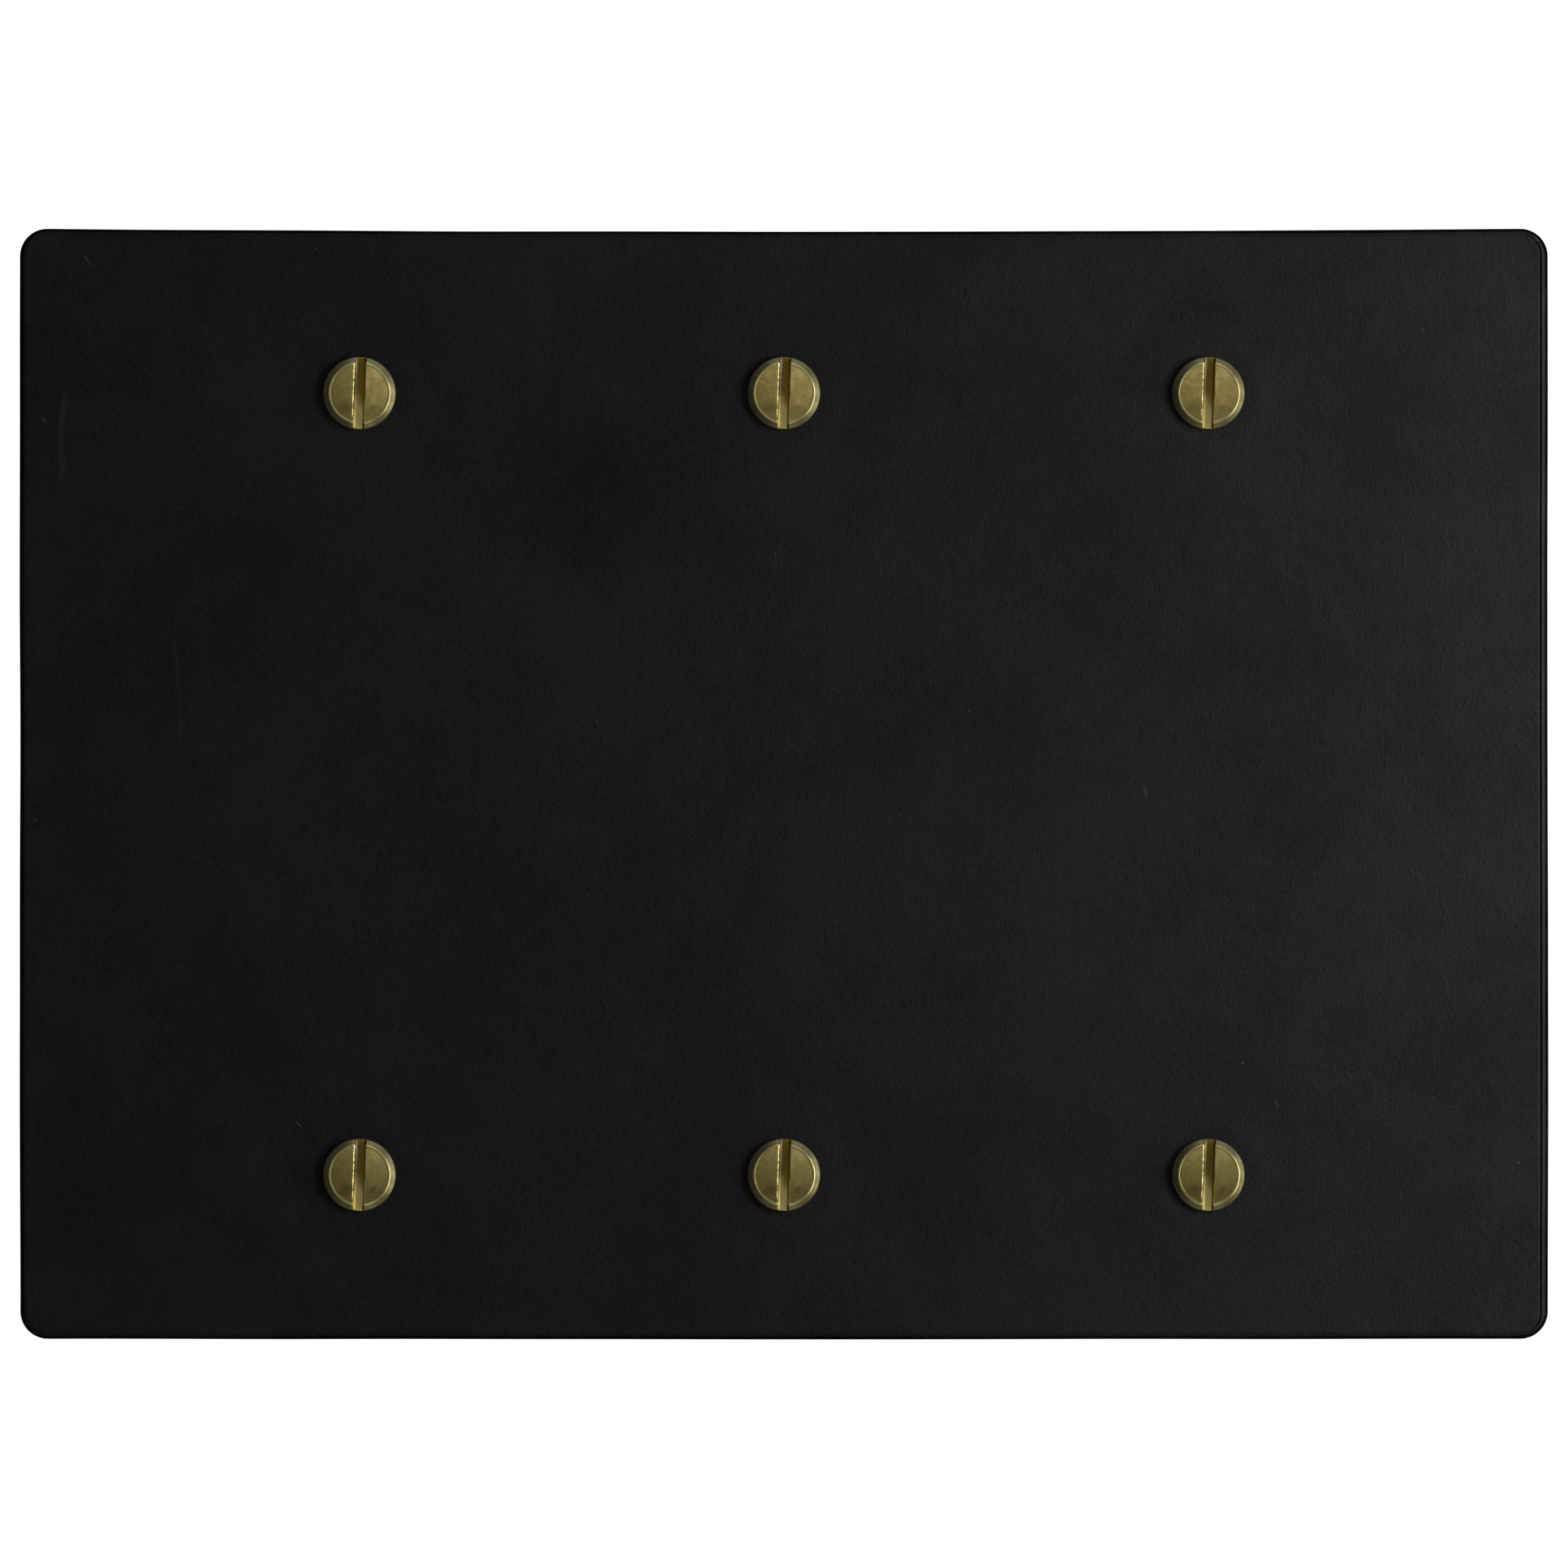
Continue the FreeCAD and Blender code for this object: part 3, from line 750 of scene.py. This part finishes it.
def leather_material():
    """Smooth black full-grain leather: fine pores, cloudy sheen, creases, lint, scuffs and a painted
    glint on one corner.
    """
    s = Shader("black_leather")
    wide = s.noise(13, 3, 0.55)
    middle = s.noise(60, 3, 0.55)
    small = s.noise(260, 3, 0.6)
    grain = s.noise(1250, 3, 0.75)
    hairs = s.noise(1, 3, 0.7, s.mapped(turn=(0, 0, 0.22), scale=(900, 480, 480)))
    tone = s.math("MULTIPLY_ADD", wide, 0.80, s.math("MULTIPLY", middle, 0.46))
    tone = s.math("ADD", s.math("MULTIPLY_ADD", small, 0.24, tone), -0.25)
    speckle = s.math("ADD", s.math("MULTIPLY_ADD", grain, 0.6, s.math("MULTIPLY", hairs, 0.4)), -0.5)
    colour = s.mix(s.remap(s.math("MULTIPLY_ADD", speckle, 1.7, tone), 0.33, 0.67), LEATHER_DARK,
                   LEATHER_PALE)
    lint = s.cells(LINT_PER_METRE, "Distance")
    chosen, size, _ = s.separate(s.cells(LINT_PER_METRE, "Color"))
    speck_radius = s.remap(size, 0, 1, 0.004, 0.010, "LINEAR")
    marks_and_glint = s.math("MULTIPLY", s.math("LESS_THAN", lint, speck_radius),
                   s.math("GREATER_THAN", chosen, 1 - LINT_SHARE))
    for mark in SCUFFS_AND_GLINT:
        marks_and_glint = s.math("MAXIMUM", marks_and_glint, pale_mark(s, *mark))
    # lint, scuffs and the painted corner glint are mixed in as a pale colour
    colour = s.mix(s.math("MULTIPLY", marks_and_glint, 0.5), colour, MARK_AND_GLINT_COLOUR)

    # pores and short hair-like lines, then slack and creased places, as heights
    pebbles = s.noise(620, 3, 0.6)
    slack = s.noise(210, 3, 0.55)
    streaks = s.noise(1, 3, 0.6, s.mapped(turn=(0, 0, 0.05), scale=(900, 60, 60)))
    streaks = s.math("MULTIPLY", streaks, s.remap(s.noise(16, 2, 0.5), 0.50, 0.62))
    lines = s.mapped(turn=(0, 0, -0.10), scale=(330, 45, 60))
    wrinkle = s.math("ABSOLUTE", s.math("ADD", s.noise(1, 3, 0.55, lines, 1.6), -0.5))
    creased = patch(s, (0.165, -0.085), (0.055, 0.062))
    creased = s.math("MAXIMUM", creased, patch(s, (0.010, -0.140), (0.060, 0.030)))
    creased = s.math("MULTIPLY", creased, s.remap(s.noise(55, 2, 0.5), 0.42, 0.66))
    folds = s.math("MULTIPLY", s.remap(wrinkle, 0.0, 0.12), creased)
    normal = s.bump(grain, GRAIN_DEPTH)
    normal = s.bump(hairs, HAIR_DEPTH, normal)
    normal = s.bump(pebbles, PEBBLE_DEPTH, normal)
    normal = s.bump(slack, SLACK_DEPTH, normal)
    normal = s.bump(streaks, STREAK_DEPTH, normal)
    normal = s.bump(folds, WRINKLE_DEPTH, normal)
    roughness = s.remap(tone, 0.34, 0.66, 0.60, 0.54)
    roughness = s.math("MULTIPLY_ADD", marks_and_glint, 0.2, roughness)
    height = s.separate(s.coords)[2]
    gloss = s.remap(height, MAT_TOP - 0.30 * MM, MAT_TOP - 0.04 * MM, 0.0, 0.5)
    s.set(Base_Color=colour, Roughness=roughness, Normal=normal, Specular_IOR_Level=gloss)
    s.surface.inputs["IOR"].default_value = 1.37
    return s.material


def suede_material():
    """Flesh side of the lower layer, brushed to a short nap, with a black burnished edge."""
    s = Shader("black_suede")
    nap = s.noise(900, 5, 0.7)
    stroke = s.noise(30, 3, 0.6, distortion=0.6)
    colour = s.mix(s.remap(stroke, 0.3, 0.7), (0.010, 0.0098, 0.0095), (0.022, 0.021, 0.020))
    height = s.separate(s.coords)[2]
    on_edge = s.remap(height, 0.1 * MM, 0.45 * MM)
    colour = s.mix(on_edge, colour, (0.0030, 0.0030, 0.0030))
    roughness = s.remap(on_edge, 0, 1, 0.95, 0.70, "LINEAR")
    sheen = s.remap(on_edge, 0, 1, 0.25, 0.0, "LINEAR")
    s.set(Base_Color=colour, Roughness=roughness, Sheen_Weight=sheen, Normal=s.bump(nap, 0.06 * MM))
    s.surface.inputs["Sheen Roughness"].default_value = 0.6
    s.surface.inputs["Specular IOR Level"].default_value = 0.12
    return s.material


def post_brass_material():
    """Plain turned brass, dulled where it has sat between the leathers."""
    s = Shader("post_brass")
    clouds = s.noise(220, 4, 0.6)
    colour = s.mix(s.remap(clouds, 0.35, 0.65), (0.50, 0.37, 0.12), (0.74, 0.58, 0.22))
    roughness = s.remap(clouds, 0.3, 0.7, 0.42, 0.30)
    s.set(Base_Color=colour, Roughness=roughness, Metallic=1.0)
    s.set(Normal=s.bump(s.noise(1600, 3, 0.6), 0.008 * MM))
    return s.material


FACE_DARK = (0.70, 0.545, 0.165)
FACE_PALE = (0.92, 0.74, 0.275)
FACE_PAINTED_SHADE = (0.50, 0.375, 0.120)
SHOULDER_DARK = (0.24, 0.210, 0.095)
SHOULDER_PALE = (0.33, 0.295, 0.150)
SLOT_OXIDE_AND_SHADE = (0.42, 0.28, 0.040)
SLOT_PAINTED_REFLECTION = (0.40, 0.34, 0.19)
SLOT_PAINTED_HIGHLIGHT = (0.97, 0.82, 0.32)
SLOT_WALL_PAINTED_SHADE = (0.14, 0.09, 0.02)
WORN_AND_HIGHLIGHT = (0.95, 0.83, 0.36)
FACE_ROUGH = 0.30
SHOULDER_ROUGH = 0.42


def screw_brass_material():
    """Turned brass with a cloudy tarnish, worn bright on its edges under a painted highlight,
    painted light and shade on the face, a shoulder darkened as painted shade, and brown oxide with
    painted shade and reflections down in the slot.
    """
    s = Shader("screw_brass")
    x, y, z = s.separate(s.coords)
    radius = s.math("SQRT", s.math("MULTIPLY_ADD", x, x, s.math("MULTIPLY", y, y)))
    clouds = s.noise(330, 5, 0.68)
    fog = s.noise(95, 2, 0.5)
    fine = s.noise(1500, 4, 0.65)
    tone = s.math("MULTIPLY_ADD", clouds, 0.65, s.math("MULTIPLY", fog, 0.35))
    # painted light: the right of the face is made paler, where the lamps on the right fall
    shade = s.math("MULTIPLY_ADD", patch(s, (6.0 * MM, 2.8 * MM), (5.5 * MM, 8.0 * MM)), 0.10, tone)
    face = s.mix(s.remap(shade, 0.38, 0.66), FACE_DARK, FACE_PALE)
    # painted shade: the lower left and lower right of the face are darkened, broken up by the clouds
    low_face_shade = s.math("MAXIMUM", patch(s, (-4.6 * MM, -5.4 * MM), (4.6 * MM, 3.4 * MM)),
                    patch(s, (5.6 * MM, -6.4 * MM), (4.8 * MM, 3.2 * MM)))
    low_face_shade = s.math("MULTIPLY", low_face_shade, s.remap(clouds, 0.38, 0.60, 0.1, 0.85))
    face = s.mix(low_face_shade, face, FACE_PAINTED_SHADE)
    # painted shade: the shoulder is a much darker copy of the face's brass, mottled by the tarnish
    # clouds
    shoulder = s.mix(s.remap(tone, 0.36, 0.64), SHOULDER_DARK, SHOULDER_PALE)
    past_edge = s.remap(radius, 11.00 * MM, 11.20 * MM)
    colour = s.mix(past_edge, face, shoulder)

    # down in the slot: brown oxide with painted shade at the far end, a greyer painted reflection on
    # the left there, painted shade along the right wall, and a pale painted highlight at the near
    # end
    across = s.math("ABSOLUTE", x)
    low = s.math("MULTIPLY", s.remap(z, 3.75 * MM, 3.3 * MM), s.remap(radius, 12.95 * MM, 12.6 * MM))
    in_slot = s.math("MULTIPLY", s.remap(across, 2.1 * MM, 1.98 * MM), low)
    reach = s.math("MULTIPLY_ADD", x, 1.2, y)
    reach = s.math("MULTIPLY_ADD", s.math("ADD", clouds, -0.5), 9 * MM, reach)
    # painted highlight: pale at the near end; brown oxide with painted shade towards the far end
    far_shade_and_oxide = s.remap(reach, -6.5 * MM, 0.5 * MM)
    # painted reflection: a greyer strip on the slot's left side, which faces the lamps on the right
    left_reflection = s.remap(x, -0.75 * MM, -1.15 * MM)
    oxide_shade_and_reflection = s.mix(left_reflection, SLOT_OXIDE_AND_SHADE, SLOT_PAINTED_REFLECTION)
    slot = s.mix(far_shade_and_oxide, SLOT_PAINTED_HIGHLIGHT, oxide_shade_and_reflection)
    # painted shade: the right wall, which faces away from the lamps on the right, is made dark brown
    slot = s.mix(s.remap(x, 1.35 * MM, 1.6 * MM), slot, SLOT_WALL_PAINTED_SHADE)
    colour = s.mix(in_slot, colour, slot)

    # worn bright with a painted highlight: the band round the face and both lips of the slot are
    # made pale
    from_band = s.math("ABSOLUTE", s.math("ADD", radius, -10.78 * MM))
    band_wear_and_highlight = s.remap(s.math("MULTIPLY_ADD", fine, 0.2 * MM, from_band), 0.52 * MM, 0.36 * MM)
    from_lip = s.math("ABSOLUTE", s.math("ADD", across, -2.3 * MM))
    lip_wear_and_highlight = s.remap(s.math("MULTIPLY_ADD", fine, 0.3 * MM, from_lip), 0.55 * MM, 0.30 * MM)
    lip_wear_and_highlight = s.math("MULTIPLY", lip_wear_and_highlight, s.remap(radius, 10.9 * MM, 10.6 * MM))
    on_top = s.remap(z, 3.4 * MM, 3.7 * MM)
    lip_wear_and_highlight = s.math("MULTIPLY", lip_wear_and_highlight, 0.45)
    wear_and_highlight = s.math("MULTIPLY", s.math("MAXIMUM", band_wear_and_highlight, lip_wear_and_highlight), on_top)
    colour = s.mix(wear_and_highlight, colour, WORN_AND_HIGHLIGHT)

    roughness = s.remap(tone, 0.34, 0.66, FACE_ROUGH + 0.05, FACE_ROUGH - 0.03)
    roughness = s.math("MULTIPLY_ADD", past_edge, SHOULDER_ROUGH - FACE_ROUGH, roughness)
    roughness = s.math("MULTIPLY_ADD", in_slot, 0.16, roughness)
    turned_rings = s.math("SINE", s.math("MULTIPLY", radius, 2 * math.pi / (0.16 * MM)))
    normal = s.bump(turned_rings, 0.0006 * MM)
    normal = s.bump(fine, 0.006 * MM, normal)
    normal = s.bump(s.noise(420, 2, 0.5), 0.02 * MM, normal)
    s.set(Base_Color=colour, Roughness=roughness, Metallic=1.0, Normal=normal)
    return s.material


def felt_material():
    s = Shader("black_felt")
    fibres = s.noise(1500, 4, 0.7, distortion=1.5)
    colour = s.mix(fibres, (0.006, 0.006, 0.0065), (0.020, 0.020, 0.021))
    s.set(Base_Color=colour, Roughness=1.0, Normal=s.bump(fibres, 0.12 * MM))
    s.surface.inputs["Sheen Weight"].default_value = 0.3
    return s.material


def fibre_material():
    s = Shader("washer_fibre")
    mottle = s.noise(900, 3, 0.6)
    colour = s.mix(mottle, (0.010, 0.009, 0.009), (0.022, 0.020, 0.019))
    s.set(Base_Color=colour, Roughness=0.6, Normal=s.bump(mottle, 0.02 * MM))
    return s.material


def dress(piece, material):
    piece.data.materials.clear()
    piece.data.materials.append(material)


# ---------------------------------------------------------------- felt discs
def make_felt_disc(name, centre):
    node = f"felt_disc_{name}"
    _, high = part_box(node)
    radius = radius_of(node)
    layer = LayerMesh()
    rounding = 0.12 * MM
    profile = [(radius - rounding, high.z - 0.02 * MM), (radius, high.z - rounding)]
    profile += [(radius, rounding), (radius - rounding, 0.0)]
    profile += [(radius * share, 0.0) for share in (0.85, 0.7, 0.55, 0.4, 0.25, 0.1)]
    rings = [station_ring(centre, *p) for p in profile]
    first, last = layer.strips(rings)
    layer.faces.append(list(first))
    layer.faces.append(list(last)[::-1])
    return layer.build(f"felt_{name}")


# ---------------------------------------------------------------- assemble
leather = leather_material()
brass = screw_brass_material()
post_brass = post_brass_material()
suede = suede_material()
felt = felt_material()
fibre = fibre_material()

top_piece = make_top_leather()
dress(top_piece, leather)
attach(top_piece, "mat")
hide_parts("top_leather")

base_piece = make_base_leather()
dress(base_piece, suede)
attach(base_piece, "mat")
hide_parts("base_leather")

screw_mesh = make_screw_mesh()
screw_mesh.materials.append(brass)
screw_pieces = []
for name, centre in STATIONS.items():
    disc = make_felt_disc(name, centre)
    dress(disc, felt)
    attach(disc, "mat")
    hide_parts(f"felt_disc_{name}")
    screw = make_screw(name, centre, screw_mesh)
    screw_pieces.append(screw)
    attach(screw, f"{name}_screw")
    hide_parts(f"screw_{name}")
    dress(nodes[f"post_{name}"], post_brass)
    dress(nodes[f"washer_{name}"], fibre)


# ---------------------------------------------------------------- studio
def make_floor():
    """A pale floor that reads as white, a hair below the mat so that the two don't flicker."""
    mesh = bpy.data.meshes.new("floor")
    reach = 12.0
    level = -0.05 * MM
    corners = [(-reach, -reach), (reach, -reach), (reach, reach), (-reach, reach)]
    mesh.from_pydata([(x, y, level) for x, y in corners], [], [(0, 1, 2, 3)])
    floor = bpy.data.objects.new("floor", mesh)
    bpy.context.scene.collection.objects.link(floor)
    s = Shader("pale_floor")
    s.set(Base_Color=(0.86, 0.86, 0.86, 1), Roughness=0.9)
    s.set(Emission_Color=(1, 1, 1, 1), Emission_Strength=1.0)
    dress(floor, s.material)


def make_area_light(name, place, aim, size, power, size_y=None):
    data = bpy.data.lights.new(name, "AREA")
    data.shape = "RECTANGLE"
    data.size = size
    data.size_y = size_y or size
    data.energy = power
    lamp = bpy.data.objects.new(name, data)
    lamp.location = place
    lamp.rotation_mode = "QUATERNION"
    lamp.rotation_quaternion = (Vector(aim) - Vector(place)).to_track_quat("-Z", "Y")
    bpy.context.scene.collection.objects.link(lamp)
    return lamp


def light_only(lamp, pieces):
    """Let a lamp light these pieces and no others."""
    lit = bpy.data.collections.new(f"{lamp.name}_lit")
    for piece in pieces:
        lit.objects.link(piece)
    lamp.light_linking.receiver_collection = lit


def make_world(level):
    world = bpy.data.worlds.new("studio")
    world.use_nodes = True
    background = world.node_tree.nodes["Background"]
    background.inputs["Color"].default_value = (level, level, level, 1)
    bpy.context.scene.world = world


FRAME_WIDTH = 563.7 * MM


def make_camera():
    """A long lens straight above the middle, that just takes in the mat's length."""
    data = bpy.data.cameras.new("camera")
    data.lens = 200
    data.sensor_width = 36
    distance = FRAME_WIDTH * data.lens / data.sensor_width
    camera = bpy.data.objects.new("camera", data)
    camera.location = (0, 0, MAT_TOP + distance)
    bpy.context.scene.collection.objects.link(camera)
    bpy.context.scene.camera = camera


# The leather grows brighter to the right while the six heads look alike, which lamps that
# light everything don't give, so one lamp lights only the leathers and two only the screws.
make_floor()
make_area_light("overhead", (0.35, 0.85, 4.6), (0, 0, 0), size=1.7, power=3.9)
make_area_light("wall_right", (3.4, -0.3, 1.9), (0, 0, 0), size=4.2, power=51, size_y=1.6)
make_area_light("fill_back", (0, 3.2, 2.6), (0, 0, 0), size=1.6, power=4.7)
make_area_light("fill_front", (0.3, -3.2, 2.6), (0, 0, 0), size=1.6, power=4.2)
sweep = make_area_light("sweep_right", (0.80, 0.09, 0.62), (0.15, 0, 0), size=0.5, power=4.6)
light_only(sweep, [top_piece, base_piece])
rim_back = make_area_light("rim_back", (0.9, 3.3, 1.6), (0, 0, 0), size=4.5, power=13, size_y=0.8)
light_only(rim_back, screw_pieces)
rim_front = make_area_light("rim_front", (0.2, -3.4, 1.6), (0, 0, 0), size=3.0, power=6, size_y=0.8)
light_only(rim_front, screw_pieces)
make_world(0.062)
make_camera()
bpy.context.scene.view_settings.view_transform = "Standard"
